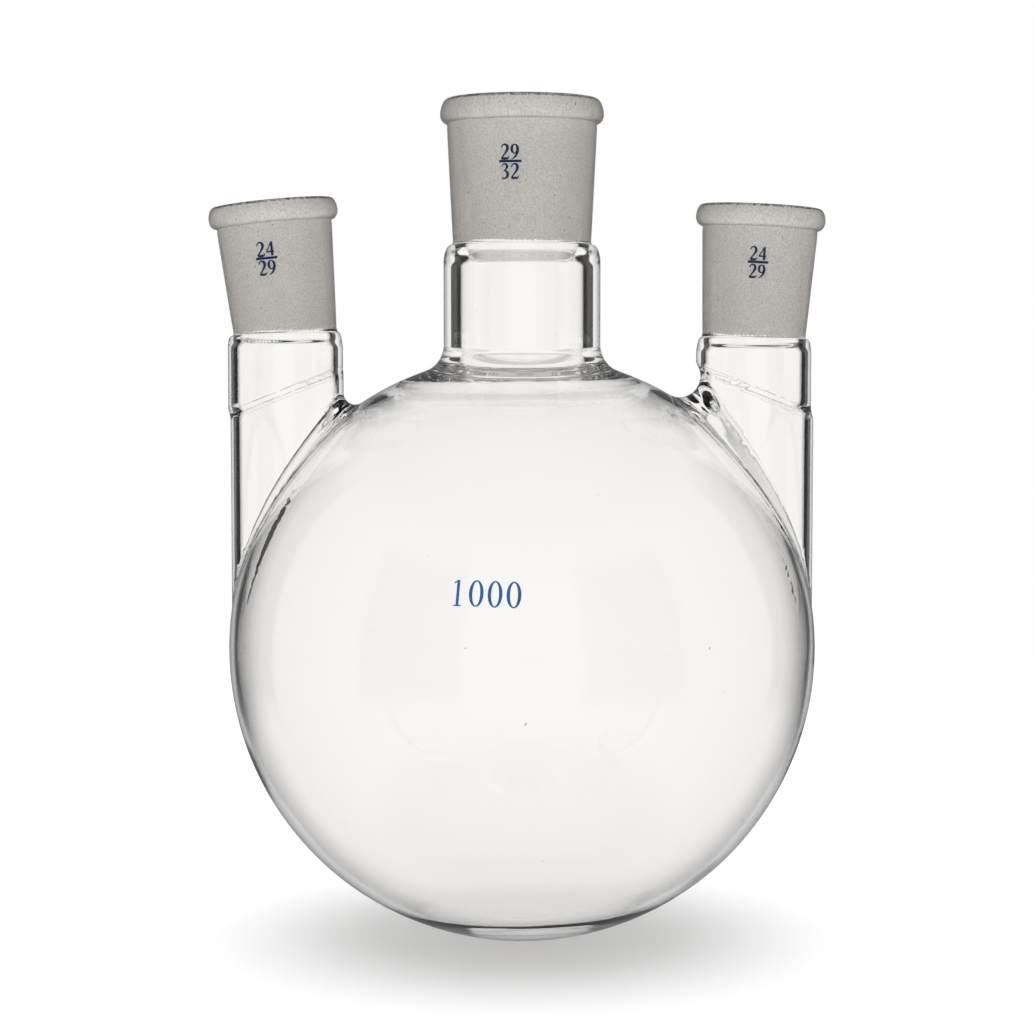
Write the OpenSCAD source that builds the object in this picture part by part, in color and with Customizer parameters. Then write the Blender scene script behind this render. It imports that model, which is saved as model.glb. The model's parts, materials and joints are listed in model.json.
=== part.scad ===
// Three neck round bottom flask, 1000 ml, in borosilicate glass.
// One blown and fused piece: a round bulb, an upright centre neck and two side necks.
// Millimetres. The origin is the bulb's lowest point, +Z runs up the centre neck,
// the side necks stand in the XZ plane, and the printed face looks along -Y.

/* [Bulb] */
// Outside diameter of the bulb
bulb_od = 132; // [126:1:140]
// Wall of the bulb
bulb_wall = 1.9; // [1.5:0.1:2.2]
// Glass gathered at the bottom, measured at the lowest point
base_wall = 4.2; // [3.6:0.1:5.5]
// Width of the thicker bottom
base_od = 46; // [40:1:54]

/* [Centre neck] */
// Height of the centre rim above the bottom of the bulb
overall_height = 188.9; // [184:0.1:205]
// Wide end of the ground socket (29/32)
centre_socket_id = 29.2; // [28.2:0.1:30.2]
// Length of the ground socket
centre_socket_length = 32; // [28:0.5:34]
// Wall of the socket just under its bead
centre_mouth_wall = 2.6; // [1.8:0.1:2.8]
// Wall of the socket at its narrow end
centre_end_wall = 2.5; // [1.8:0.1:3]
// Outside diameter of the clear tube below the socket
centre_tube_od = 35.2; // [34:0.1:38]
// Wall of the clear tube
centre_tube_wall = 3.8; // [3:0.1:4.4]
// Outside diameter of the bead round the mouth
centre_bead_od = 36.6; // [36:0.1:39]
// Height of that bead
centre_bead_height = 5.8; // [4.8:0.1:6.4]

/* [Side necks] */
// Wide end of the ground sockets (24/29)
side_socket_id = 24; // [23:0.1:25]
// Length of the ground sockets
side_socket_length = 29; // [26:0.5:31]
// Wall of the sockets just under their beads
side_mouth_wall = 1.2; // [0.8:0.05:1.6]
// Wall of the sockets at their narrow ends
side_end_wall = 1; // [0.8:0.05:1.6]
// Outside diameter of the clear tubes below the sockets
side_tube_od = 25.8; // [25.6:0.1:27]
// Wall of the clear tubes
side_tube_wall = 2.1; // [1.8:0.1:2.4]
// Outside diameter of the beads round the mouths
side_bead_od = 29; // [28:0.1:31]
// Height of those beads
side_bead_height = 5.4; // [4.6:0.1:6]
// Height of the left rim above the bottom of the bulb
left_height = 165.9; // [163:0.1:172]
// Height of the right rim above the bottom of the bulb
right_height = 165; // [163:0.1:172]
// Outward lean of the left socket, in degrees
left_lean = 5.6; // [0:0.1:9]
// Outward lean of the right socket, in degrees
right_lean = 3; // [0:0.1:9]

/* [Side branches] */
// Outside diameter of the branches blown up from the bulb
branch_od = 25.4; // [24.8:0.1:25.6]
// Wall of the branches
branch_wall = 1.9; // [1.6:0.1:2.1]
// How far a branch lies inside the widest line of the bulb
branch_inset = 0.4; // [0.3:0.1:4]
// Height of the weld between a branch and its neck, on the branch's axis
weld_height = 123.7; // [123:0.1:126]
// Slope of that weld, higher towards the centre neck, in degrees
weld_slope = 22; // [15:1:25]
// How far outward the left neck was set on its branch
left_step = 0.3; // [-1:0.1:1]
// How far outward the right neck was set on its branch
right_step = -0.8; // [-1:0.1:1]

/* [Fused joints] */
// Height over which a tube draws in to its socket
shoulder_height = 4.5; // [3:0.1:5.5]
// Radius of the fused glass outside, between the bulb and the centre neck
centre_fillet = 3.5; // [2:0.1:6]
// Radius of the fused glass outside, between the bulb and the side branches
side_fillet = 3.6; // [2:0.1:4.5]
// Radius to which the flame rounds the edges inside
inner_round = 1.8; // [1:0.1:2.6]

// Radius of the hollow under the beads
bead_hollow = 1.3; // [0.8:0.1:2]

/* [Hidden] */
$fn = 96;

// Ground joints narrow by 1 mm of diameter in 10 mm of length
joint_taper = 1 / 10;
// How deep a fused surface dips below the surfaces that it joins
dip = 0.12;
// How far a cut runs past the glass
past = 6;
// How far a tube's glass runs on inside the one that carries it
root = 8;
// How much it draws in on that way, so that it ends inside
draw = 1;
// Straight length that a side neck has on each side of its knee, for the mitre
knee_straight = 1;
// How far above the middle of a weld the side neck's tube has its full width
weld_cover = 3;
// How far above the bulb's widest line the branches begin, inside it
foot_rise = 2;
// How far the section of a fused ring reaches in under the surfaces that it joins
bite = 1.5;
// How far a socket's outline runs down inside its shoulder
overlap = 1.1;

bulb_r = bulb_od / 2;
bulb_inner_r = bulb_r - bulb_wall;

// The hollow's flatter bottom is part of a wider ball that meets the round hollow
// in a ring as wide as the thick bottom
base_ring_r = base_od / 2;
base_ring_z = bulb_r - sqrt(pow(bulb_inner_r, 2) - pow(base_ring_r, 2));
base_rise = base_ring_z - base_wall;
base_ball_r = (pow(base_ring_r, 2) + pow(base_rise, 2)) / (2 * base_rise);

centre_tube_r = centre_tube_od / 2;
centre_bore_r = centre_tube_r - centre_tube_wall;
centre_end_z = overall_height - centre_socket_length;
// Lower end of the centre tube, inside the bulb's hollow
centre_foot_z = bulb_r + sqrt(pow(bulb_inner_r, 2) - pow(centre_tube_r, 2)) - root;

side_tube_r = side_tube_od / 2;
side_bore_r = side_tube_r - side_tube_wall;
branch_r = branch_od / 2;
branch_bore_r = branch_r - branch_wall;
branch_offset = bulb_r - branch_inset - branch_r;
branch_foot_z = bulb_r + foot_rise;

// Radius of a ground socket's hollow at its narrow end
function socket_end_r(socket_id, socket_length) = (socket_id - joint_taper * socket_length) / 2;

// Height of the narrow end of a side neck's ground cone, where the neck bends
function knee_z(height, lean) = height - side_socket_length * cos(lean);

// Centre of a ball that rolls on a round bulb and on an upright tube beside it.
// The bulb's centre is the origin and the tube stands at x = offset.
function rolling_centre(ball_r, tube_r, offset, radius, angle) =
    let(x = offset + (tube_r + radius) * cos(angle),
        y = (tube_r + radius) * sin(angle))
    [x, y, sqrt(max(0.01, pow(ball_r + radius, 2) - x * x - y * y))];

// Outline of a ground socket's glass: its cone, the bead round its mouth and the hollow
// under the bead. Its z is 0 at the narrow end of the cone, which runs straight on for a
// length each way.
module socket_outline(socket_id, socket_length, mouth_wall, end_wall,
                      bead_od, bead_height, straight) {
    end_r = socket_end_r(socket_id, socket_length) + end_wall;
    mouth_r = socket_id / 2 - joint_taper * bead_height / 2 + mouth_wall;
    bead_r = bead_height / 2;
    bead_x = bead_od / 2 - bead_r;
    bead_z = socket_length - bead_r;
    // Centre of a ball that rolls in the corner between the cone and the bead
    hollow_x = mouth_r + bead_hollow;
    hollow_z = bead_z - sqrt(pow(bead_r + bead_hollow, 2) - pow(hollow_x - bead_x, 2));
    polygon([
        [0, bead_z],
        [mouth_r, bead_z],
        [mouth_r, hollow_z],
        [end_r, straight],
        [end_r, -straight - overlap],
        [0, -straight - overlap]]);
    translate([bead_x, bead_z]) circle(bead_r);
    difference() {
        polygon([[mouth_r - mouth_wall / 2, bead_z], [bead_x, bead_z], [hollow_x, hollow_z],
                 [mouth_r - mouth_wall / 2, hollow_z]]);
        translate([hollow_x, hollow_z]) circle(bead_hollow + dip);
    }
}

// Outline of the hollow in a ground socket, on the same scale of z
module cone_outline(socket_id, socket_length, straight) {
    end_r = socket_end_r(socket_id, socket_length);
    mouth_r = socket_id / 2 + joint_taper * past / 2;
    polygon([
        [0, socket_length + past],
        [mouth_r, socket_length + past],
        [end_r, straight],
        [end_r, -straight - overlap],
        [0, -straight - overlap]]);
}

// Outline of a tube that draws in to a ground socket, or of the hollow in it: straight,
// then the full round shoulder, the tube down to foot, and its root. Its z is 0 where the
// socket ends.
module tube_outline(tube_r, end_r, straight, foot, draw) {
    steps = 8;
    polygon(concat(
        [[0, straight], [end_r, straight]],
        [for (i = [0 : steps])
            let(angle = 90 * i / steps)
            [end_r + (tube_r - end_r) * sin(angle),
             -straight - shoulder_height * (1 - cos(angle))]],
        [[tube_r, foot], [tube_r - draw, foot - root], [0, foot - root]]));
}

// Ring of fused glass where a tube on the bulb's own axis meets the bulb
module centre_fused_ring(ball_r, tube_r, radius) {
    centre = rolling_centre(ball_r, tube_r, 0, radius, 0);
    under = centre * (ball_r - bite) / (ball_r + radius);
    rotate_extrude()
        difference() {
            polygon([[tube_r - bite, centre.z], [centre.x, centre.z],
                     [under.x, under.z], [tube_r - bite, under.z]]);
            translate([centre.x, centre.z]) circle(radius + dip);
        }
}

// Ring of fused glass where an upright tube beside the bulb's axis meets the bulb: the
// surface left by a ball that rolls all round the joint. Each section is an arc from the
// tube to the bulb, closed by one point under their common edge.
module side_fused_ring(ball_r, tube_r, offset, radius) {
    stations = 60;
    arc_steps = 6;
    count = arc_steps + 2;
    points = [for (i = [0 : stations - 1])
        let(angle = 360 * i / stations,
            centre = rolling_centre(ball_r, tube_r, offset, radius, angle),
            to_tube = [-cos(angle), -sin(angle), 0],
            to_ball = -centre / norm(centre),
            inward = (to_tube + to_ball) / norm(to_tube + to_ball),
            edge = rolling_centre(ball_r, tube_r, offset, 0, angle))
        each concat(
            [for (k = [0 : arc_steps])
                let(aim = to_tube * (1 - k / arc_steps) + to_ball * k / arc_steps)
                centre + (radius + dip) * aim / norm(aim)],
            [edge + bite * inward])];
    faces = [for (i = [0 : stations - 1], k = [0 : count - 1])
        let(j = (i + 1) % stations, m = (k + 1) % count)
        each [[i * count + k, j * count + m, i * count + m],
              [i * count + k, j * count + k, j * count + m]]];
    polyhedron(points, faces);
}

// Upright branch from inside the bulb up to its sloping weld, with its fused ring.
// side is -1 on the left and 1 on the right.
module branch(side, radius, ball_r, round_r) {
    offset = side * branch_offset;
    top = weld_height + radius;
    reach = 2 * radius;
    difference() {
        translate([offset, 0, branch_foot_z])
            cylinder(r = radius, h = top - branch_foot_z);
        translate([offset, 0, weld_height])
            rotate([0, side * weld_slope, 0])
                translate([-reach, -reach, 0]) cube([2 * reach, 2 * reach, reach]);
    }
    translate([0, 0, bulb_r])
        side_fused_ring(ball_r, radius, offset, round_r);
}

// Places its children at a side neck's knee, turned outward by an angle
module at_knee(side, step, height, lean, turn) {
    translate([side * (branch_offset + step), 0, knee_z(height, lean)])
        rotate([0, side * turn, 0]) children();
}

// The space above a knee's mitre, or below it. The mitre halves the angle of the lean.
module beyond_mitre(side, step, height, lean, above) {
    reach = side_bead_od;
    at_knee(side, step, height, lean, lean / 2)
        translate([-reach, -reach, above ? 0 : -reach]) cube([2 * reach, 2 * reach, reach]);
}

// Joins the outlines of an upright tube and of a leaning socket at a mitre
module mitred_neck(side, step, height, lean) {
    difference() {
        at_knee(side, step, height, lean, 0) rotate_extrude() children(0);
        beyond_mitre(side, step, height, lean, true);
    }
    difference() {
        at_knee(side, step, height, lean, lean) rotate_extrude() children(1);
        beyond_mitre(side, step, height, lean, false);
    }
}

module side_glass(side, step, height, lean) {
    end_r = socket_end_r(side_socket_id, side_socket_length) + side_end_wall;
    foot = weld_height + weld_cover - knee_z(height, lean);
    branch(side, branch_r, bulb_r, side_fillet);
    mitred_neck(side, step, height, lean) {
        tube_outline(side_tube_r, end_r, knee_straight, foot, draw);
        socket_outline(side_socket_id, side_socket_length, side_mouth_wall, side_end_wall,
                       side_bead_od, side_bead_height, knee_straight);
    }
}

module side_hollow(side, step, height, lean) {
    end_r = socket_end_r(side_socket_id, side_socket_length);
    foot = weld_height + weld_cover - knee_z(height, lean);
    branch(side, branch_bore_r, bulb_inner_r, inner_round);
    mitred_neck(side, step, height, lean) {
        tube_outline(side_bore_r, end_r, knee_straight, foot, draw);
        cone_outline(side_socket_id, side_socket_length, knee_straight);
    }
}

module centre_glass() {
    end_r = socket_end_r(centre_socket_id, centre_socket_length) + centre_end_wall;
    translate([0, 0, centre_end_z])
        rotate_extrude() {
            socket_outline(centre_socket_id, centre_socket_length, centre_mouth_wall,
                           centre_end_wall, centre_bead_od, centre_bead_height, 0);
            tube_outline(centre_tube_r, end_r, 0, centre_foot_z - centre_end_z, 0);
        }
    translate([0, 0, bulb_r])
        centre_fused_ring(bulb_r, centre_tube_r, centre_fillet);
}

module centre_hollow() {
    end_r = socket_end_r(centre_socket_id, centre_socket_length);
    translate([0, 0, centre_end_z])
        rotate_extrude() {
            cone_outline(centre_socket_id, centre_socket_length, 0);
            tube_outline(centre_bore_r, end_r, 0, centre_foot_z - past - centre_end_z, 0);
        }
    translate([0, 0, bulb_r])
        centre_fused_ring(bulb_inner_r, centre_bore_r, inner_round);
}

// The hollow of the bulb: a ball, flatter at the bottom where the glass is thick
module bulb_hollow() {
    intersection() {
        translate([0, 0, bulb_r]) sphere(bulb_inner_r);
        translate([0, 0, base_wall + base_ball_r]) sphere(base_ball_r);
    }
}

module flask() {
    color([0.93, 0.94, 0.94, 0.45])
        difference() {
            union() {
                translate([0, 0, bulb_r]) sphere(bulb_r);
                centre_glass();
                side_glass(-1, left_step, left_height, left_lean);
                side_glass(1, right_step, right_height, right_lean);
            }
            bulb_hollow();
            centre_hollow();
            side_hollow(-1, left_step, left_height, left_lean);
            side_hollow(1, right_step, right_height, right_lean);
        }
}

flask();
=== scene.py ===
import json
import math

import bmesh
import bpy
import numpy as np
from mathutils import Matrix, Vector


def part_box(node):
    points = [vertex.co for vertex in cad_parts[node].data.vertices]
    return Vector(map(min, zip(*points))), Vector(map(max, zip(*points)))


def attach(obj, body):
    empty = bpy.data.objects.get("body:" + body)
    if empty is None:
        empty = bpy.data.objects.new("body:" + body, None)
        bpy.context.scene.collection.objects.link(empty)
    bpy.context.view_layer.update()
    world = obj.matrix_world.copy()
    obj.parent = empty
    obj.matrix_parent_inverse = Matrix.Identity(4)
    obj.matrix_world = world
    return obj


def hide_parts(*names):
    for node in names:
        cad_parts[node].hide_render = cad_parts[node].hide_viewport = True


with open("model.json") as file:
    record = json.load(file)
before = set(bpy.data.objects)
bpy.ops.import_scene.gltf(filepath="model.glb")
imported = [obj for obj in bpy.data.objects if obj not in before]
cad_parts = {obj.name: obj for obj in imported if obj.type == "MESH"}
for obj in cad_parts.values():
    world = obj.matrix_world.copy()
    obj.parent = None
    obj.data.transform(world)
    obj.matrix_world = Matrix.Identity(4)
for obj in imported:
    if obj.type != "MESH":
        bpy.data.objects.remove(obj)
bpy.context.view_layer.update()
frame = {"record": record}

scene = bpy.context.scene
mounts = {m["name"]: m for m in frame["record"]["mounts"]}


# ---- The bulb and the roots of its necks ----------------------------------------------
# Borosilicate glass, blown into a ball with a heavier bottom. The side branches are blown up
# from it and the centre tube is fused on, so every joint is a soft hollow in one surface.
# Lengths are in millimetres until the glass becomes a mesh.

box_low, box_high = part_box("flask")
bulb_r = 500 * (box_high.y - box_low.y)
bulb_wall = 1.9
bulb_centre = np.array([0.0, 0.0, bulb_r])
centre_tube_r = 17.6
centre_bore_r = 13.8
branch_r = 12.7
branch_bore_r = 10.8
side_tube_r = 12.9
side_bore_r = 10.8
branch_x = bulb_r - 0.4 - branch_r

# The flame leaves each joint its own softness: (outside, inside) radius at the left and right
# branch and at the centre tube
joint_round = {-1: (2.6, 1.5), 1: (4.6, 3.2), 0: (6.0, 4.0)}

# The weld between branch and neck slopes down towards the outside
weld_height = 123.7
weld_slope = math.radians(22)
weld_blend = 1.3
weld_ridge = 0.16
weld_ridge_width = 0.7
ridge_share_outside = 0.6

# Round the centre neck the wall is thicker, fading out down the bulb
gather = 0.6
gather_from, gather_to = math.cos(math.radians(40)), math.cos(math.radians(17))

# The centre tube's weld stands out into the bulb as a low ring: rise, level, half width, tilt
weld_ring = (0.6, 125.0, 1.1, 0.012)

# The glass gathered at the bottom: its hollow follows a wider ball, a little off centre
base_ball_r = 500.0
base_wall = 4.7
base_shift = -12.0
base_blend = 5

# How far the blown ball strays from a true one
hand_waves = 0.08

socket_length = {-1: 29.0, 1: 29.0, 0: 32.0}
rim = {side: np.array(mounts[name]["pos_m"]) * 1000
       for side, name in ((-1, "socket_left"), (0, "socket_centre"), (1, "socket_right"))}
lean = {side: math.asin(abs(mounts[name]["axis"][0]))
        for side, name in ((-1, "socket_left"), (0, "socket_centre"), (1, "socket_right"))}
tube_x = {side: rim[side][0] - side * socket_length[side] * math.sin(lean[side])
          for side in (-1, 0, 1)}


def smoothstep(x):
    t = np.clip(x, 0, 1)
    return t * t * (3 - 2 * t)


def soft_unevenness(p, amount):
    """Slow waves of hand work, between 0 and amount."""
    waves = [((0.21, 0.05, 0.09), 0.3), ((-0.08, 0.17, 0.12), 1.9), ((0.05, -0.11, 0.26), 4.1),
             ((0.31, 0.22, -0.07), 2.6), ((-0.13, 0.29, 0.19), 5.2)]
    total = sum(np.sin(p @ np.array(k) + phase) for k, phase in waves)
    return amount * (0.5 + total / (2 * len(waves)))


def fused(a, b, cosine, radius):
    """Two surfaces at distances a and b, joined by a ball of this radius rolled between them."""
    sine2 = np.maximum(1 - cosine * cosine, 1e-3)
    u = radius - a
    v = radius - b
    along_a = (u - cosine * v) / sine2
    along_b = (v - cosine * u) / sine2
    reach = np.sqrt(np.maximum((u * u + v * v - 2 * cosine * u * v) / sine2, 0))
    return np.where((along_a > 0) & (along_b > 0), radius - reach, np.minimum(a, b))


def above_weld(p, side):
    """Signed height of points over the plane of a side neck's weld."""
    return ((p[:, 2] - weld_height) * math.cos(weld_slope)
            + (p[:, 0] * side - branch_x) * math.sin(weld_slope))


def glass_skin(p, inside):
    """Distance of points from the outer face of the glass, or from the face of its hollow."""
    from_centre = p - bulb_centre
    far = np.linalg.norm(from_centre, axis=1)
    if inside:
        top = smoothstep((from_centre[:, 2] / far - gather_from) / (gather_to - gather_from))
        ball = far - (bulb_r - bulb_wall - gather * top)
        base_centre = np.array([base_shift, 0, base_wall + base_ball_r])
        base = np.linalg.norm(p - base_centre, axis=1) - base_ball_r
        overlap = np.maximum(base_blend - np.abs(ball - base), 0)
        ball = np.maximum(ball, base) + overlap * overlap / (4 * base_blend)
    else:
        ball = far - bulb_r + soft_unevenness(p, hand_waves)
    out = ball
    for side in (-1, 0, 1):
        if side:
            over = above_weld(p, side)
            share = smoothstep(over / (2 * weld_blend) + 0.5)
            x = side * branch_x + (tube_x[side] - side * branch_x) * share
            r = branch_bore_r if inside else branch_r + (side_tube_r - branch_r) * share
            ridge = weld_ridge * np.exp(-(over / weld_ridge_width) ** 2)
            r = r - ridge if inside else r - ridge_share_outside * ridge
        else:
            x = 0.0
            r = centre_bore_r if inside else centre_tube_r
        if inside and not side:
            rise, level, half, tilt = weld_ring
            ball = ball - rise * np.exp(-((p[:, 2] - level - tilt * p[:, 0]) / half) ** 2)
        dx = p[:, 0] - x
        from_axis = np.maximum(np.hypot(dx, p[:, 1]), 1e-6)
        cosine = (dx * from_centre[:, 0] + p[:, 1] * from_centre[:, 1]) / (from_axis * far)
        # A tube only counts above the bulb's widest line
        wall = np.where(p[:, 2] > bulb_r + 2, from_axis - r, 1e3)
        out = np.minimum(out, fused(ball, wall, cosine, joint_round[side][1 if inside else 0]))
    return out


def skin_gradient(p, inside):
    step = 0.02
    out = np.empty_like(p)
    for axis in range(3):
        shift = np.zeros(3)
        shift[axis] = step
        out[:, axis] = (glass_skin(p + shift, inside) - glass_skin(p - shift, inside)) / (2 * step)
    return out


def onto_skin(p, inside):
    """Moves points onto the skin and gives its outward normals there."""
    for _ in range(6):
        g = skin_gradient(p, inside)
        size2 = np.maximum((g * g).sum(1), 1e-3)
        move = g * (glass_skin(p, inside) / size2)[:, None]
        length = np.linalg.norm(move, axis=1)[:, None]
        p = p - move * np.minimum(1, 1.5 / np.maximum(length, 1e-9))
    g = skin_gradient(p, inside)
    return p, g / np.linalg.norm(g, axis=1)[:, None]


def neck_near(x):
    """-1, 0 or 1 for the left, centre or right neck."""
    return -1 if x < -30 else 1 if x > 30 else 0


cut_height = {-1: 131.0, 1: 130.2, 0: 133.6}
voxel = 1.8
# The mesh is twice as fine this near a weld, and where the skin lifts this far off the ball
fine_by_weld = 3
fine_lift = (0.02, 4.5)


def rough_body(inside):
    """Evenly meshed union of a ball and three pegs, to be drawn onto the skin."""
    bm = bmesh.new()
    r = bulb_r - bulb_wall if inside else bulb_r
    bmesh.ops.create_icosphere(bm, subdivisions=5, radius=r)
    bmesh.ops.translate(bm, verts=bm.verts, vec=(0, 0, bulb_r))
    for side in (-1, 0, 1):
        peg_r = (branch_bore_r if side else centre_bore_r) if inside else \
            (branch_r if side else centre_tube_r)
        top = cut_height[side] + 5
        peg = bmesh.ops.create_cone(bm, cap_ends=True, segments=96, radius1=peg_r, radius2=peg_r,
                                     depth=top - bulb_r)
        bmesh.ops.translate(bm, verts=peg["verts"],
                            vec=(side * branch_x, 0, (top + bulb_r) / 2))
    mesh = bpy.data.meshes.new("rough")
    bm.to_mesh(mesh)
    bm.free()
    rough = bpy.data.objects.new("rough", mesh)
    scene.collection.objects.link(rough)
    remesh = rough.modifiers.new("even", "REMESH")
    remesh.mode = "VOXEL"
    remesh.voxel_size = voxel
    even = rough.evaluated_get(bpy.context.evaluated_depsgraph_get()).to_mesh()
    bm = bmesh.new()
    bm.from_mesh(even)
    rough.to_mesh_clear()
    bpy.data.objects.remove(rough)
    bpy.data.meshes.remove(mesh)
    return bm


def points_of(bm):
    bm.verts.ensure_lookup_table()
    return np.array([v.co for v in bm.verts], float)


def body_surface(inside):
    """Points, faces and normals of one face of the glass up to the level cuts under its necks,
    and the loop of points round each cut."""
    bm = rough_body(inside)
    p, _ = onto_skin(points_of(bm), inside)
    for v, co in zip(bm.verts, p):
        v.co = co
    # Finer along the welds and the fused joints, where the skin turns fast
    fine = np.zeros(len(p), bool)
    for side in (-1, 1):
        near = (p[:, 0] * side > 20) & (p[:, 2] > 112)
        fine |= near & (np.abs(above_weld(p, side)) < fine_by_weld)
    far = np.linalg.norm(p - bulb_centre, axis=1)
    lifted = far - (bulb_r - bulb_wall if inside else bulb_r)
    fine |= ((lifted > fine_lift[0]) & (lifted < fine_lift[1])
             & (p[:, 2] > bulb_r + 8) & (np.abs(p[:, 0]) < 62))
    bm.verts.ensure_lookup_table()
    edges = [e for e in bm.edges if fine[e.verts[0].index] and fine[e.verts[1].index]]
    bmesh.ops.subdivide_edges(bm, edges=edges, cuts=1, use_grid_fill=True)
    for side, height in cut_height.items():
        near = [f for f in bm.faces if neck_near(f.calc_center_median().x) == side]
        # In order, so that the mesh is the same each time
        parts = dict.fromkeys(near + [e for f in near for e in f.edges]
                              + [v for f in near for v in f.verts])
        bmesh.ops.bisect_plane(bm, geom=list(parts), dist=0.2, plane_co=(0, 0, height),
                               plane_no=(0, 0, 1), clear_outer=True)
    bmesh.ops.triangulate(bm, faces=[f for f in bm.faces if len(f.verts) > 4])
    rims = dict.fromkeys(v for e in bm.edges if e.is_boundary for v in e.verts)
    bmesh.ops.remove_doubles(bm, verts=list(rims), dist=0.25)
    bm.verts.index_update()
    p, n = onto_skin(points_of(bm), inside)
    faces = [[v.index for v in f.verts] for f in bm.faces]
    rims = sorted({v.index for e in bm.edges if e.is_boundary for v in e.verts})
    loops = {side: [i for i in rims if neck_near(p[i, 0]) == side] for side in (-1, 0, 1)}
    bm.free()
    # The glass faces out of the bulb, and into its hollow
    return p, faces, -n if inside else n, loops


# ---- The necks ------------------------------------------------------------------------
# Each is a tube drawn in to a socket with a thick fire-polished bead. The socket's hollow is
# ground to the standard taper, 1 in 10; the side necks bend outward where the cone ends.

taper = 0.1
round_steps = 144
shoulder_height = 4.0
notch = 0.45
bend_reach = 1.6
# By neck: radius of the mouth, wall at the cone's end and at its mouth, radius of the bead,
# of its crest, then heights from the crest to the widest line, from there to the bead's lower
# edge, and of the hollow below it
sockets = {
    0: dict(mouth=14.6, end_wall=2.5, mouth_wall=2.5, bead=18.3, crest=16.4, up=3.6, under=1.9,
            run=1.6, tube=centre_tube_r, bore=centre_bore_r, ridge=0.5, waist=1.0, flare=4.4),
    -1: dict(mouth=12.0, end_wall=1.0, mouth_wall=1.2, bead=14.46, crest=13.0, up=2.8, under=2.1,
             run=1.3, tube=side_tube_r, bore=side_bore_r, ridge=0.5, waist=0.6, flare=3.2),
    1: dict(mouth=12.0, end_wall=1.0, mouth_wall=1.2, bead=14.46, crest=13.0, up=2.8, under=2.1,
            run=1.3, tube=side_tube_r, bore=side_bore_r, ridge=0.5, waist=0.6, flare=3.2),
}
lip = 0.7
# The grinding ends in teeth: shortest and longest, how far every second one goes back, and two
# slow waves under them
teeth = (0.1, 0.6)
teeth_back = 0.3
teeth_waves = (0.18, 0.1)
# Material slots: clear, ground matt, and the ground rim of the mouth painted near black as shade
clear, ground, shaded_rim_ground = 0, 1, 2


def cone_r(side, t):
    """Radius of a socket's ground hollow, t above the cone's narrow end."""
    return sockets[side]["mouth"] - taper / 2 * (socket_length[side] - t)


def outer_cone_r(side, t):
    s = sockets[side]
    share = t / socket_length[side]
    return cone_r(side, t) + s["end_wall"] + (s["mouth_wall"] - s["end_wall"]) * share


def neck_axis(side, t):
    """Point of a neck's axis and its direction, t above the cone's narrow end."""
    knee = (tube_x[side], rim[side][2] - socket_length[side] * math.cos(lean[side]))
    if not side:
        return np.array([0, 0, knee[1] + t]), np.array([0.0, 0, 1])
    share = min(max((t + bend_reach) / (2 * bend_reach), 0), 1)
    turn = lean[side] * share
    radius = 2 * bend_reach / lean[side]
    past = max(t - bend_reach, 0)
    x = radius * (1 - math.cos(turn)) + past * math.sin(turn)
    z = min(t, -bend_reach) + radius * math.sin(turn) + past * math.cos(turn)
    return (np.array([knee[0] + side * x, 0, knee[1] + z]),
            np.array([side * math.sin(turn), 0, math.cos(turn)]))


def quarter(t0, r0, t1, r1, flat_first, steps):
    """Points of a quarter ellipse from one place to another, without the first. It starts
    along the axis, or across it."""
    points = []
    for i in range(1, steps + 1):
        a = math.pi / 2 * i / steps
        rise, run = math.sin(a), 1 - math.cos(a)
        if flat_first:
            rise, run = run, rise
        points.append((t0 + (t1 - t0) * rise, r0 + (r1 - r0) * run))
    return points


def swell(t0, r0, t1, r1, steps):
    """Points of a soft step from one radius to another, without the first."""
    points = []
    for i in range(1, steps + 1):
        share = 0.5 - 0.5 * math.cos(math.pi * i / steps)
        points.append((t0 + (t1 - t0) * i / steps, r0 + (r1 - r0) * share))
    return points


def neck_profile(side):
    """(t, r, material of the strip that starts here) up the outside, over the rim and down
    the hollow."""
    s = sockets[side]
    length = socket_length[side]
    start = cut_height[side] - (rim[side][2] - length * math.cos(lean[side]))
    outer_end, inner_end = outer_cone_r(side, 0), cone_r(side, 0)
    outside = [(start, s["tube"]), (-shoulder_height - 0.5, s["tube"])]
    # The shoulder is full and round, and meets the cone in a soft notch
    outside += quarter(-shoulder_height - 0.5, s["tube"], -notch, outer_end + notch, False, 12)
    outside += quarter(-notch, outer_end + notch, notch, outer_end, True, 5)
    bead_low = length - s["up"] - s["under"]
    run_low = bead_low - s["run"]
    for i in range(1, 7):
        t = notch + (run_low - notch) * i / 6
        outside.append((t, outer_cone_r(side, t)))
    neck = outer_cone_r(side, run_low)
    shelf = s["bead"] - 0.8 * s["under"]
    outside += quarter(run_low, neck, bead_low, shelf, False, 8)
    outside += quarter(bead_low, shelf, length - s["up"], s["bead"], True, 8)
    crown = quarter(length - s["up"], s["bead"], length, s["crest"], False, 12)
    outside += crown[:6]
    lip_r = cone_r(side, length - lip)
    mouth = quarter(length, s["crest"], length - lip, lip_r, True, 7)
    # The ground rim over the crest, painted near black as shade
    inside = [(t, r, shaded_rim_ground) for t, r in crown[6:]]
    inside += [(t, r, ground) for t, r in mouth[:-1] + [(length - lip, lip_r)]]
    for i in range(1, 9):
        t = (length - lip) * (1 - i / 8)
        inside.append((t, cone_r(side, t), ground if i < 8 else clear))
    # Where the cone was fused on, its end draws in a little before the bore opens
    waist = inner_end - s["ridge"]
    inside += [(t, r, clear) for t, r in swell(0, inner_end, -s["waist"], waist, 4)]
    inside += [(t, r, clear) for t, r in
               swell(-s["waist"], waist, -s["waist"] - s["flare"], s["bore"], 12)]
    inside.append((start, s["bore"], clear))
    return [(t, r, clear) for t, r in outside] + inside


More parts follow.
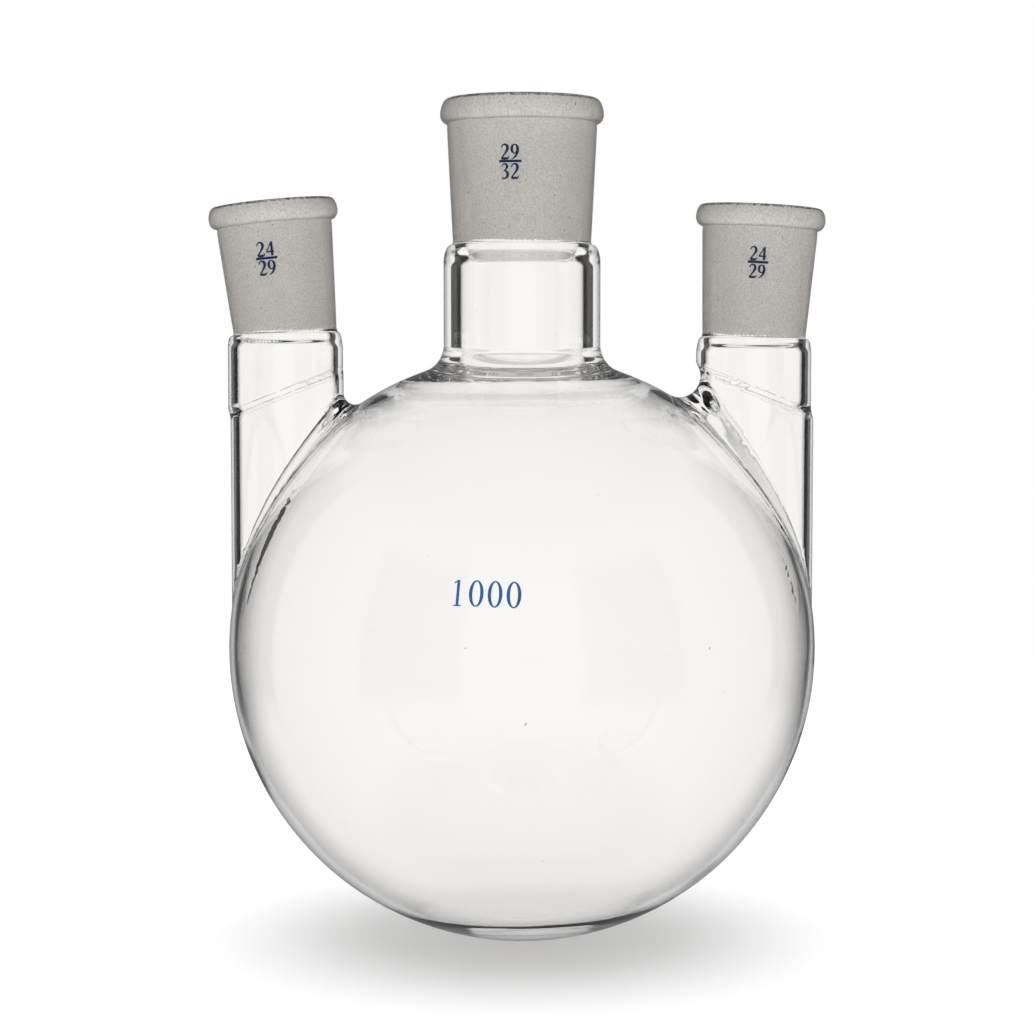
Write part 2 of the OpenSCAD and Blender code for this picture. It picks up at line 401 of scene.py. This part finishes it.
def neck_surface(side):
    """Points, normals, faces and face materials of a neck, in rings from its outer foot to its
    inner foot."""
    profile = neck_profile(side)
    points, normals, faces, finishes = [], [], [], []
    angle = 2 * math.pi * np.arange(round_steps) / round_steps
    for i, (t, r, _) in enumerate(profile):
        before, after = profile[max(i - 1, 0)], profile[min(i + 1, len(profile) - 1)]
        dt, dr = after[0] - before[0], after[1] - before[1]
        length = math.hypot(dt, dr)
        centre, up = neck_axis(side, t)
        across = np.array([up[2], 0, -up[0]])
        spoke = np.cos(angle)[:, None] * across + np.sin(angle)[:, None] * np.array([0, 1.0, 0])
        shift = np.zeros(round_steps)
        if t == 0 and r < outer_cone_r(side, 0):
            shift = ragged_end(side, angle)
        points.append(centre + r * spoke + shift[:, None] * up)
        normals.append((dt * spoke - dr * up) / length)
    for i in range(len(profile) - 1):
        for k in range(round_steps):
            m = (k + 1) % round_steps
            a, b = i * round_steps, (i + 1) * round_steps
            faces.append([a + k, a + m, b + m, b + k])
            finishes.append(profile[i][2])
    return np.concatenate(points), np.concatenate(normals), faces, finishes


def ragged_end(side, angle):
    """How far the grinding's end is shifted up the neck at each angle."""
    rng = np.random.default_rng(40 + side)
    reach = rng.uniform(*teeth, round_steps)
    reach *= np.where(np.arange(round_steps) % 2, 1, -teeth_back)
    return (reach + teeth_waves[0] * np.sin(2 * angle + side)
            + teeth_waves[1] * np.sin(5 * angle + 2 * side))


def stitched(loop, loop_points, ring, ring_points, centre_x):
    """Triangles between a loop of body points and a neck's ring, both in order of angle."""
    def angles(index, p):
        turn = np.arctan2(p[index][:, 1], p[index][:, 0] - centre_x) % (2 * math.pi)
        order = np.argsort(turn)
        return [index[i] for i in order], turn[order]
    low, low_turn = angles(np.array(loop), loop_points)
    high, high_turn = angles(np.array(ring), ring_points)
    i = j = 0
    triangles = []
    while i < len(low) or j < len(high):
        next_low = low_turn[i + 1] if i + 1 < len(low) else low_turn[0] + 2 * math.pi
        next_high = high_turn[j + 1] if j + 1 < len(high) else high_turn[0] + 2 * math.pi
        a, b = low[i % len(low)], high[j % len(high)]
        if j >= len(high) or (i < len(low) and next_low <= next_high):
            i += 1
            triangles.append(("low", a, low[i % len(low)], b))
        else:
            j += 1
            triangles.append(("high", a, high[j % len(high)], b))
    return triangles


# ---- The whole flask in one mesh ------------------------------------------------------
# Bulb and necks are one body of glass, so their faces are stitched into one closed mesh. It is
# clear, with sockets ground matt inside and the ground rims of their mouths painted near black as
# shade.

flask_points, flask_normals, flask_faces, flask_finishes = [], [], [], []
placed = 0


def add_to_flask(points, normals, faces, finishes):
    global placed
    first = placed
    flask_points.append(points)
    flask_normals.append(normals)
    flask_faces.extend([[i + first for i in f] for f in faces])
    flask_finishes.extend(finishes)
    placed += len(points)
    return first


neck_first, neck_rings = {}, {}
for side in (-1, 0, 1):
    points, normals, faces, finishes = neck_surface(side)
    neck_first[side] = add_to_flask(points, normals, faces, finishes)
    neck_rings[side] = (points[:round_steps], points[-round_steps:], len(points) - round_steps)
for inside in (False, True):
    points, faces, normals, loops = body_surface(inside)
    body_first = add_to_flask(points, normals, faces, [clear] * len(faces))
    for side in (-1, 0, 1):
        ring_points = neck_rings[side][1 if inside else 0]
        ring_first = neck_first[side] + (neck_rings[side][2] if inside else 0)
        for kind, a, b, c in stitched(loops[side], points, list(range(round_steps)), ring_points,
                                      tube_x[side]):
            if kind == "low":
                flask_faces.append([a + body_first, b + body_first, c + ring_first])
            else:
                flask_faces.append([a + body_first, b + ring_first, c + ring_first])
            flask_finishes.append(clear)

mesh = bpy.data.meshes.new("flask_glass")
mesh.from_pydata(np.concatenate(flask_points) / 1000, [], flask_faces)
mesh.polygons.foreach_set("material_index", flask_finishes)
bm = bmesh.new()
bm.from_mesh(mesh)
bmesh.ops.recalc_face_normals(bm, faces=bm.faces)
bm.to_mesh(mesh)
bm.free()
mesh.shade_smooth()
mesh.normals_split_custom_set_from_vertices(np.concatenate(flask_normals))
flask = bpy.data.objects.new("flask_glass", mesh)
scene.collection.objects.link(flask)


def feed(tree, node, inputs):
    """Sets or links a node's inputs."""
    for name, value in inputs.items():
        if isinstance(value, bpy.types.NodeSocket):
            tree.links.new(value, node.inputs[name])
        else:
            node.inputs[name].default_value = value


def made(tree, kind, output, inputs, **settings):
    """One output of a new node, made with these settings and inputs."""
    node = tree.nodes.new(kind)
    for name, value in settings.items():
        setattr(node, name, value)
    feed(tree, node, inputs)
    return node.outputs[output]


def calculated(tree, operation, *values, clamp=False):
    return made(tree, "ShaderNodeMath", 0, dict(enumerate(values)), operation=operation,
                use_clamp=clamp)


def noise(tree, at, scale, detail, roughness):
    return made(tree, "ShaderNodeTexNoise", "Fac",
                {"Vector": at, "Scale": scale, "Detail": detail, "Roughness": roughness})


def two_tone(tree, value, low, low_colour, high, high_colour):
    """Colours from low to high, spread between two values."""
    node = tree.nodes.new("ShaderNodeValToRGB")
    for element, place, colour in zip(node.color_ramp.elements, (low, high),
                                      (low_colour, high_colour)):
        element.position = place
        element.color = (*colour, 1)
    feed(tree, node, {"Fac": value})
    return node.outputs["Color"]


def multiplied(tree, a, b):
    return made(tree, "ShaderNodeMix", "Result", {"Factor": 1, "A": a, "B": b},
                data_type="RGBA", blend_type="MULTIPLY")


def bumped(tree, height, strength, distance):
    return made(tree, "ShaderNodeBump", "Normal",
                {"Strength": strength, "Distance": distance, "Height": height})


def facing(tree):
    """0 where a face looks this way, 1 where it is seen edge on."""
    return made(tree, "ShaderNodeLayerWeight", "Facing", {"Blend": 0.5})


def new_material(name):
    """A material with its node tree, its shader and its object coordinates."""
    material = bpy.data.materials.new(name)
    material.use_nodes = True
    tree = material.node_tree
    return (material, tree, tree.nodes["Principled BSDF"],
            made(tree, "ShaderNodeTexCoord", "Object", {}))


# Specks of one kind, as ash in the clear glass and as pits in the ground glass. Share says how
# much of the surface they take.
speck_sharpness = 30
fine_specks = bpy.data.node_groups.new("fine_specks", "ShaderNodeTree")
for name, kind in (("Vector", "NodeSocketVector"), ("Scale", "NodeSocketFloat"),
                   ("Share", "NodeSocketFloat")):
    fine_specks.interface.new_socket(name, in_out="INPUT", socket_type=kind)
fine_specks.interface.new_socket("Mask", in_out="OUTPUT", socket_type="NodeSocketFloat")
given = fine_specks.nodes.new("NodeGroupInput").outputs
dots = noise(fine_specks, given["Vector"], given["Scale"], 0, 0.5)
inside_dot = calculated(fine_specks, "SUBTRACT", given["Share"], dots)
feed(fine_specks, fine_specks.nodes.new("NodeGroupOutput"),
     {"Mask": calculated(fine_specks, "MULTIPLY", inside_dot, speck_sharpness, clamp=True)})


def specks(tree, at, scale, share, colour):
    mask = made(tree, "ShaderNodeGroup", "Mask", {"Vector": at, "Scale": scale, "Share": share},
                node_tree=fine_specks)
    return two_tone(tree, mask, 0.0, (1, 1, 1), 1.0, colour)


glass_ior = 1.474

# Each side weld left two thin broken lines across its neck. Metres: half the distance between
# them, half the width of one, and how far inside the branch's axis they reach
weld_line_offset = 0.0006
weld_line_half = 0.00011
weld_line_reach = 0.0135


def weld_lines(tree, at):
    split = tree.nodes.new("ShaderNodeSeparateXYZ")
    feed(tree, split, {"Vector": at})
    out_from = calculated(tree, "SUBTRACT", calculated(tree, "ABSOLUTE", split.outputs["X"]),
                          branch_x / 1000)
    up_from = calculated(tree, "SUBTRACT", split.outputs["Z"], weld_height / 1000)
    over = calculated(tree, "ADD",
                      calculated(tree, "MULTIPLY", up_from, math.cos(weld_slope)),
                      calculated(tree, "MULTIPLY", out_from, math.sin(weld_slope)))
    off_middle = calculated(tree, "SUBTRACT", calculated(tree, "ABSOLUTE", over), weld_line_offset)
    on_line = calculated(tree, "MULTIPLY",
                         calculated(tree, "LESS_THAN",
                                    calculated(tree, "ABSOLUTE", off_middle), weld_line_half),
                         calculated(tree, "GREATER_THAN", out_from, -weld_line_reach))
    unbroken = calculated(tree, "GREATER_THAN", noise(tree, at, 420, 2, 0.6), 0.45)
    return two_tone(tree, calculated(tree, "MULTIPLY", on_line, unbroken),
                    0.0, (1, 1, 1), 1.0, (0.62, 0.61, 0.6))


clear_glass, tree, shader, at = new_material("clear_glass")
# A faint warm tint of the glass, plus painted shade that turns it dark grey where the glass is
# seen edge on
tint_and_edge_shade = tree.nodes.new("ShaderNodeValToRGB")
tint_and_edge_shade.color_ramp.elements[0].color = (0.985, 0.981, 0.974, 1)
tint_and_edge_shade.color_ramp.elements.new(0.6).color = (0.955, 0.941, 0.928, 1)
tint_and_edge_shade.color_ramp.elements[-1].position = 0.92
tint_and_edge_shade.color_ramp.elements[-1].color = (0.3, 0.31, 0.315, 1)
feed(tree, tint_and_edge_shade, {"Fac": facing(tree)})
edge_shaded_lined = multiplied(tree, tint_and_edge_shade.outputs["Color"], weld_lines(tree, at))
ash = specks(tree, at, 700, 0.085, (0.25, 0.25, 0.25))
feed(tree, shader, {
    "Roughness": 0.0, "IOR": glass_ior, "Transmission Weight": 1.0,
    "Base Color": multiplied(tree, edge_shaded_lined, ash),
    "Normal": bumped(tree, noise(tree, at, 90, 2, 0.5), 0.25, 0.00003)})


def ground_finish(name, low_tone, pit_share):
    """Glass ground matt: fine grain, faint clouds, dark pits, and painted shade darker towards the
    flanks.
    """
    material, tree, shader, at = new_material(name)
    grain = noise(tree, at, 3000, 3, 0.7)
    grey = two_tone(tree, grain, 0.42, low_tone, 0.56, (1, 0.985, 0.96))
    clouds = two_tone(tree, noise(tree, at, 130, 2, 0.5),
                      0.3, (0.96, 0.955, 0.945), 0.7, (1, 1, 1))
    pits = specks(tree, at, 2600, pit_share, (0.2, 0.19, 0.18))
    # Painted shade: the ground glass grows darker where it is seen towards its flanks
    flank_shade = two_tone(tree, facing(tree), 0.25, (1, 1, 1), 0.5, (0.5, 0.49, 0.48))
    feed(tree, shader, {
        "Roughness": 0.7, "IOR": glass_ior, "Transmission Weight": 0.55,
        "Base Color": multiplied(tree, multiplied(tree, grey, clouds),
                                 multiplied(tree, pits, flank_shade)),
        "Normal": bumped(tree, grain, 0.5, 0.00005)})
    return material


mesh.materials.append(clear_glass)
mesh.materials.append(ground_finish("ground_glass", (0.74, 0.715, 0.675), 0.195))
# The mouth's ground rim: the same grain painted near black, as painted shade
mesh.materials.append(ground_finish("ground_rim_painted_shade", (0.03, 0.03, 0.029), 0.5))
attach(flask, "root")
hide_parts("flask")


# ---- Printed sizes --------------------------------------------------------------------
# Enamel numbers, screen printed and fired on: the size of each ground joint, and the volume on
# the bulb. Each stroke is a thin closed strip that follows the glass.

enamel_sunk = 0.01
enamel_thick = 0.03
# Strokes of a numeral one unit high, as (across, up, width)
numerals = {
    "0": [[(0.3 + 0.225 * math.sin(a), 0.5 + 0.47 * math.cos(a),
            0.045 + 0.075 * abs(math.sin(a)) ** 1.5)
           for a in [2 * math.pi * k / 28 for k in range(29)]]],
    "1": [[(0.31, 0.02, 0.1), (0.31, 0.3, 0.1), (0.31, 0.7, 0.1), (0.31, 0.97, 0.1)],
          [(0.13, 0.85, 0.03), (0.22, 0.9, 0.045), (0.31, 0.96, 0.05)],
          [(0.15, 0.02, 0.035), (0.31, 0.025, 0.05), (0.47, 0.02, 0.035)]],
    "2": [[(0.07, 0.74, 0.05), (0.13, 0.89, 0.06), (0.27, 0.96, 0.07), (0.42, 0.89, 0.11),
           (0.47, 0.73, 0.125), (0.4, 0.53, 0.1), (0.25, 0.31, 0.07), (0.06, 0.07, 0.06)],
          [(0.06, 0.055, 0.1), (0.28, 0.055, 0.11), (0.48, 0.055, 0.1)],
          [(0.49, 0.05, 0.06), (0.53, 0.12, 0.05), (0.56, 0.22, 0.03)]],
    "3": [[(0.09, 0.79, 0.04), (0.15, 0.91, 0.055), (0.27, 0.96, 0.07), (0.4, 0.89, 0.1),
           (0.42, 0.75, 0.105), (0.34, 0.61, 0.06), (0.2, 0.54, 0.035)],
          [(0.2, 0.54, 0.035), (0.36, 0.49, 0.08), (0.46, 0.36, 0.115), (0.45, 0.2, 0.12),
           (0.35, 0.07, 0.09), (0.22, 0.03, 0.06), (0.08, 0.07, 0.08)]],
    "4": [[(0.42, 0.95, 0.07), (0.25, 0.65, 0.05), (0.05, 0.31, 0.05)],
          [(0.04, 0.3, 0.07), (0.3, 0.3, 0.075), (0.56, 0.3, 0.07)],
          [(0.42, 0.02, 0.11), (0.42, 0.35, 0.11), (0.42, 0.96, 0.11)]],
    "9": [[(0.29 + 0.19 * math.sin(a), 0.67 + 0.28 * math.cos(a),
            0.05 + 0.065 * abs(math.sin(a)) ** 1.5)
           for a in [2 * math.pi * k / 24 for k in range(25)]],
          [(0.49, 0.7, 0.11), (0.48, 0.5, 0.11), (0.39, 0.27, 0.09), (0.24, 0.1, 0.065),
           (0.08, 0.02, 0.03)]],
}


def smooth_line(stroke, steps):
    """The stroke's points with a soft curve between them."""
    points = [np.array(p) for p in stroke]
    ends = [2 * points[0] - points[1]] + points + [2 * points[-1] - points[-2]]
    out = []
    for a, b, c, d in zip(ends, ends[1:], ends[2:], ends[3:]):
        for k in range(steps):
            t = k / steps
            out.append(0.5 * (2 * b + (c - a) * t + (2 * a - 5 * b + 4 * c - d) * t ** 2
                              + (3 * b - a - 3 * c + d) * t ** 3))
    return out + [points[-1]]


def strip(bm, line, place, boldness):
    """A closed strip along a line of (across, up, width), laid on the glass by place."""
    sections = []
    for i, (x, y, width) in enumerate(line):
        before, after = line[max(i - 1, 0)], line[min(i + 1, len(line) - 1)]
        ahead = np.array(after[:2]) - np.array(before[:2])
        side = np.array([-ahead[1], ahead[0]]) / np.linalg.norm(ahead) * width * boldness / 2
        corners = [(1, -enamel_sunk), (-1, -enamel_sunk), (-1, enamel_thick), (1, enamel_thick)]
        sections.append([bm.verts.new(place(x + way * side[0], y + way * side[1], lift))
                         for way, lift in corners])
    for a, b in zip(sections, sections[1:]):
        for k in range(4):
            bm.faces.new((a[k], a[(k + 1) % 4], b[(k + 1) % 4], b[k]))
    bm.faces.new(sections[0])
    bm.faces.new(reversed(sections[-1]))


def numeral_strips(bm, text, left, foot, height, advance, place, boldness):
    for n, mark in enumerate(text):
        for stroke in numerals[mark]:
            steps = 1 if len(stroke) > 20 else 4
            line = [(left + (n * advance + x) * height, foot + y * height, width * height)
                    for x, y, width in smooth_line(stroke, steps)]
            strip(bm, line, place, boldness)


def enamel_print(name, bm, material):
    bmesh.ops.recalc_face_normals(bm, faces=bm.faces)
    mesh = bpy.data.meshes.new(name)
    bm.to_mesh(mesh)
    bm.free()
    mesh.materials.append(material)
    piece = bpy.data.objects.new(name, mesh)
    scene.collection.objects.link(piece)
    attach(piece, "root")
    return piece


def enamel(name, colour, thin_colour):
    material, tree, shader, at = new_material(name)
    mottle = noise(tree, at, 2500, 2, 0.5)
    feed(tree, shader, {
        "Roughness": 0.35,
        "Base Color": two_tone(tree, mottle, 0.4, colour, 0.75, thin_colour),
        "Normal": bumped(tree, mottle, 0.3, 0.00002)})
    return material


def on_neck(side, turn, t):
    """Lays (across, up, lift) on the front of a socket, turned off its middle."""
    radius = outer_cone_r(side, t)

    def place(across, up, lift):
        centre, axis = neck_axis(side, t + up)
        angle = -math.pi / 2 + (turn + across) / radius
        spoke = np.array([math.cos(angle) * axis[2], math.sin(angle), -math.cos(angle) * axis[0]])
        return (centre + (outer_cone_r(side, t + up) + lift) * spoke) / 1000
    return place


# By neck: numbers over and under the bar, how far off the middle, height above the cone's
# end, and height of the numerals
neck_prints = {"print_29_32": (0, "29", "32", -2.6, 17.1, 3.37),
               "print_24_29_left": (-1, "24", "29", -1.3, 16.3, 3.26),
               "print_24_29_right": (1, "24", "29", -1.2, 16.2, 3.05)}
navy = enamel("navy_enamel", (0.003, 0.013, 0.05), (0.006, 0.03, 0.1))
numeral_advance = 0.64
bar_width = 0.36
neck_boldness = 1.5
for name, (side, over, under, turn, t, height) in neck_prints.items():
    place = on_neck(side, turn, t)
    left = -numeral_advance * height
    bm = bmesh.new()
    numeral_strips(bm, over, left, 0.38, height, numeral_advance, place, neck_boldness)
    numeral_strips(bm, under, left, -0.45 - height, height, numeral_advance, place,
                   neck_boldness)
    bar = [(x, 0, bar_width) for x in np.linspace(-0.74 * height, 0.74 * height, 9)]
    strip(bm, bar, place, neck_boldness)
    enamel_print(name, bm, navy)

# The volume stands a little left of the middle and a little askew
volume_centre = (-7.75, 84.2)
volume_height = 5.3
volume_boldness = 1.15
volume_advance = 0.75
volume_tilt = math.radians(-1.6)


def on_bulb(across, up, lift):
    x = across * math.cos(volume_tilt) - up * math.sin(volume_tilt)
    z = across * math.sin(volume_tilt) + up * math.cos(volume_tilt)
    height = (volume_centre[1] + z - bulb_r) / bulb_r
    level = math.asin(height)
    turn = (volume_centre[0] + x) / bulb_r
    aim = np.array([math.sin(turn) * math.cos(level), -math.cos(turn) * math.cos(level), height])
    p, n = onto_skin((bulb_centre + bulb_r * aim)[None, :], False)
    return (p[0] + lift * n[0]) / 1000


bm = bmesh.new()
numeral_strips(bm, "1000", -2 * volume_advance * volume_height + 0.4, -volume_height / 2,
               volume_height, volume_advance, on_bulb, volume_boldness)
enamel_print("print_1000", bm, enamel("blue_enamel", (0.012, 0.075, 0.26), (0.03, 0.15, 0.4)))


# ---- Floor ----------------------------------------------------------------------------
# A white table top, as white as the air behind it. It keeps the shadow.

floor_r = 0.55
floor_steps = 96
floor_gap = 0.0002
floor_colour = 0.9
floor_glow = 0.07
# Seen through the glass it is about as bright as the air, with this share of its shadow
glass_view = 0.97
shadow_share = 0.1

floor_rim = [2 * math.pi * i / floor_steps for i in range(floor_steps)]
floor_mesh = bpy.data.meshes.new("floor")
floor_mesh.from_pydata([(floor_r * math.cos(a), floor_r * math.sin(a), 0) for a in floor_rim], [],
                       [tuple(range(floor_steps))])
floor = bpy.data.objects.new("floor", floor_mesh)
floor.location.z = -floor_gap
scene.collection.objects.link(floor)
table, tree, shader, _ = new_material("white_table")
feed(tree, shader, {
    "Base Color": (floor_colour, floor_colour, floor_colour, 1), "Roughness": 0.9,
    "Specular IOR Level": 0.0, "Emission Color": (1, 1, 1, 1), "Emission Strength": floor_glow})
path = tree.nodes.new("ShaderNodeLightPath").outputs
even = made(tree, "ShaderNodeEmission", 0, {"Strength": glass_view})
through_glass = calculated(tree, "MULTIPLY", path["Is Transmission Ray"], 1 - shadow_share)
shown = made(tree, "ShaderNodeMixShader", 0, {"Fac": through_glass, 1: shader.outputs[0], 2: even})
# The glass doesn't mirror it
mirrored_once = calculated(tree, "GREATER_THAN", path["Glossy Depth"], 0.5)
unseen = made(tree, "ShaderNodeBsdfTransparent", 0, {})
choice = made(tree, "ShaderNodeMixShader", 0, {"Fac": mirrored_once, 1: shown, 2: unseen})
feed(tree, tree.nodes["Material Output"], {"Surface": choice})
floor_mesh.materials.append(table)


# ---- Light ----------------------------------------------------------------------------
# A white studio. Matt surfaces are lit from all round and more from above. Light that leaves the
# glass steeply, or after a turn inside it, meets dark flags, which draw the lines in the glass.

world = bpy.data.worlds.new("studio")
scene.world = world
world.use_nodes = True
sky = world.node_tree
split = sky.nodes.new("ShaderNodeSeparateXYZ")
feed(sky, split, {"Vector": made(sky, "ShaderNodeTexCoord", "Generated", {})})
across, along, up = split.outputs
light_path = sky.nodes.new("ShaderNodeLightPath").outputs


def ramp(value, low, high, from_value, to_value):
    return made(sky, "ShaderNodeMapRange", "Result",
                {"Value": value, "From Min": low, "From Max": high, "To Min": from_value,
                 "To Max": to_value}, interpolation_type="SMOOTHSTEP")


def stripes(count, dark_from, dark_to, depth):
    """Upright dark flags between light screens, this many times round the room."""
    azimuth = calculated(sky, "ARCTAN2", across, along)
    wave = calculated(sky, "SINE", calculated(sky, "MULTIPLY", azimuth, count / 2))
    return ramp(calculated(sky, "ABSOLUTE", wave), dark_from, dark_to, 1.0, depth)


def mixed(share, when_zero, when_one):
    rest = calculated(sky, "SUBTRACT", 1.0, share)
    return calculated(sky, "ADD", calculated(sky, "MULTIPLY", share, when_one),
                      calculated(sky, "MULTIPLY", rest, when_zero))


def deeper(kind, count):
    return calculated(sky, "GREATER_THAN", light_path[kind + " Depth"], count)


def brightest(a, b):
    return calculated(sky, "MAXIMUM", a, b)


steepness = calculated(sky, "ABSOLUTE", up)
# What is seen straight through the glass, on its outer face, and by way of its inner faces
screen = ramp(steepness, 0.42, 0.6, 1.0, 0.04)
mirrored = 0.2
level_flags = ramp(steepness, 0.5, 0.7, 0.0, 1.0)
below = ramp(up, -0.15, -0.35, 0.0, 1.0)
inner_flags = brightest(stripes(4, 0.68, 0.8, 0.01), brightest(level_flags, below))
ceiling = ramp(up, 0.6, 0.85, 1.0, 0.5)
far_wall = deeper("Transmission", 2.5)
inner = calculated(sky, "MULTIPLY", ceiling, brightest(inner_flags, far_wall))
seen = mixed(deeper("Glossy", 0.5), screen, mixed(deeper("Transmission", 0.5), mirrored, inner))
overhead = ramp(up, 0.6, 0.9, 0.85, 2.0)
lit = mixed(deeper("Diffuse", 0.5), seen, overhead)
feed(sky, sky.nodes["Background"],
     {"Color": (1, 1, 1, 1), "Strength": mixed(light_path["Is Camera Ray"], lit, 1.0)})

scene.view_settings.view_transform = "Standard"
scene.cycles.max_bounces = 24
scene.cycles.transmission_bounces = 20
scene.cycles.glossy_bounces = 12
scene.cycles.diffuse_bounces = 6


# ---- Camera ---------------------------------------------------------------------------
# A long lens, level with the top of the bulb and tipped a little down.

camera_data = bpy.data.cameras.new("camera")
camera_data.lens = 86.48
camera_data.sensor_width = 36
camera_object = bpy.data.objects.new("camera", camera_data)
camera_object.location = (-0.00112, -0.56, 0.1341)
camera_object.rotation_euler = (math.radians(90 - 3.96), 0, 0)
scene.collection.objects.link(camera_object)
scene.camera = camera_object
